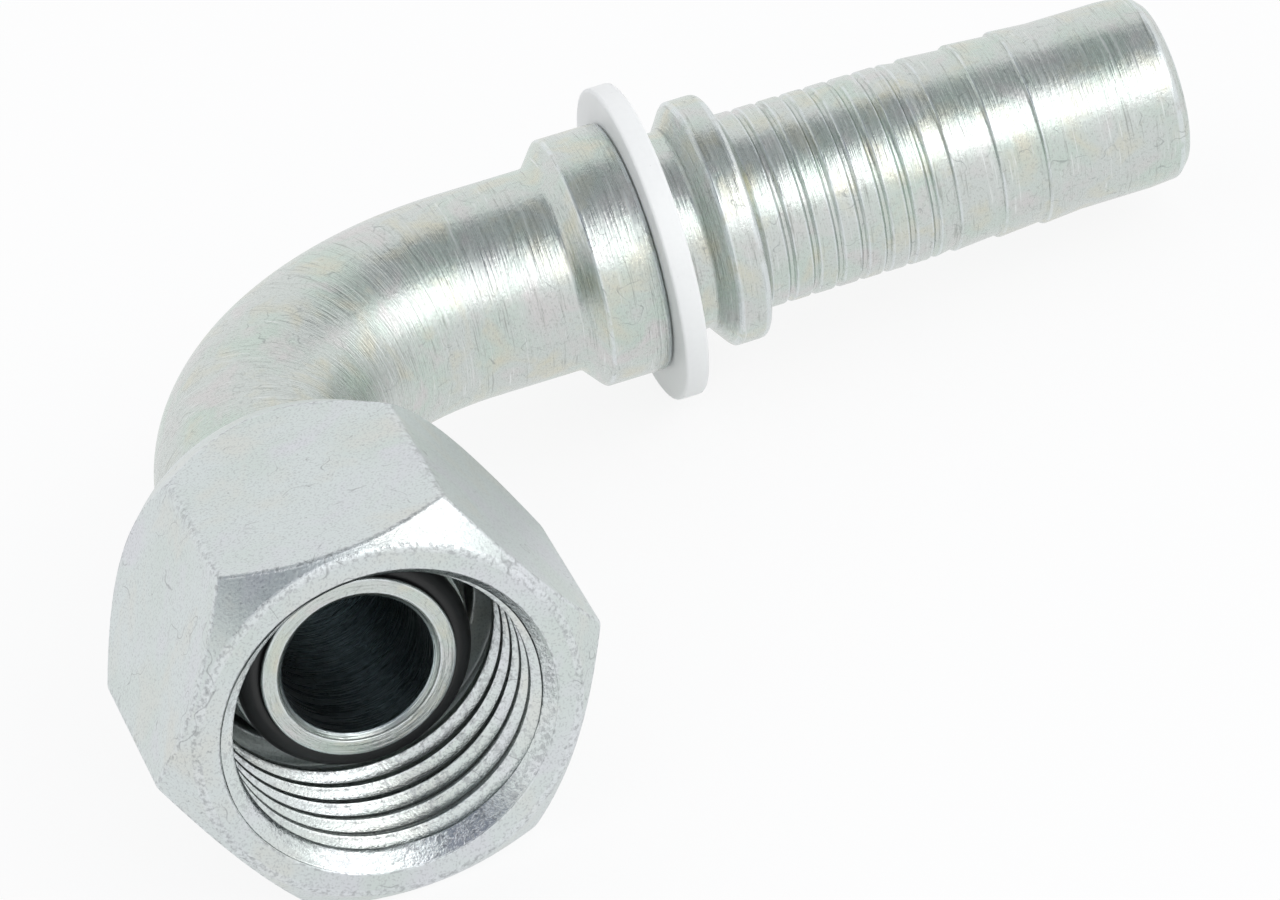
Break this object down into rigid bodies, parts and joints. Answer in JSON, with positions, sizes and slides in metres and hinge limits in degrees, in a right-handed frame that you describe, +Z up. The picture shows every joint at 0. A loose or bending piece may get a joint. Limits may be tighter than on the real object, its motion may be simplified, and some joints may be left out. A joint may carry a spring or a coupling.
{
  "type": "elbow hose fitting",
  "caption": "Steel elbow hose fitting with a hexagon swivel nut on an O-ring cone nose, a right-angle tube, a stop collar with a white plastic ring and a ribbed hose tail.",
  "frame": {"origin": "on the nut's axis where its full thread starts, just inside the mouth", "axes": "+Z up, -Y out of the nut's mouth, +X towards the hose tail, which droops by about 3.3 degrees where the fitting lies"},
  "size_m": [0.0624, 0.0427, 0.019],
  "materials": {
    "stem_steel": "bright zinc plated, fine turning lines",
    "nut_steel": "satin zinc plated, scuffed corners",
    "rubber": "satin black",
    "plastic": "milky, slightly translucent"
  },
  "bodies": {
    "stem": {"stem": "stem_steel", "o_ring": "rubber"},
    "nut": {"nut": "nut_steel"},
    "seal_ring": {"seal_ring": "plastic"}
  },
  "joints": [
    {"name": "nut_swivel", "type": "hinge", "parent": "stem", "child": "nut", "pos_m": [0, 0.007, 0], "axis": [0, 1, 0], "continuous": true},
    {"name": "ring_slide", "type": "slide", "parent": "stem", "child": "seal_ring", "axis": [0.9983, 0, -0.058], "range_m": [0, 0.0014]}
  ]
}
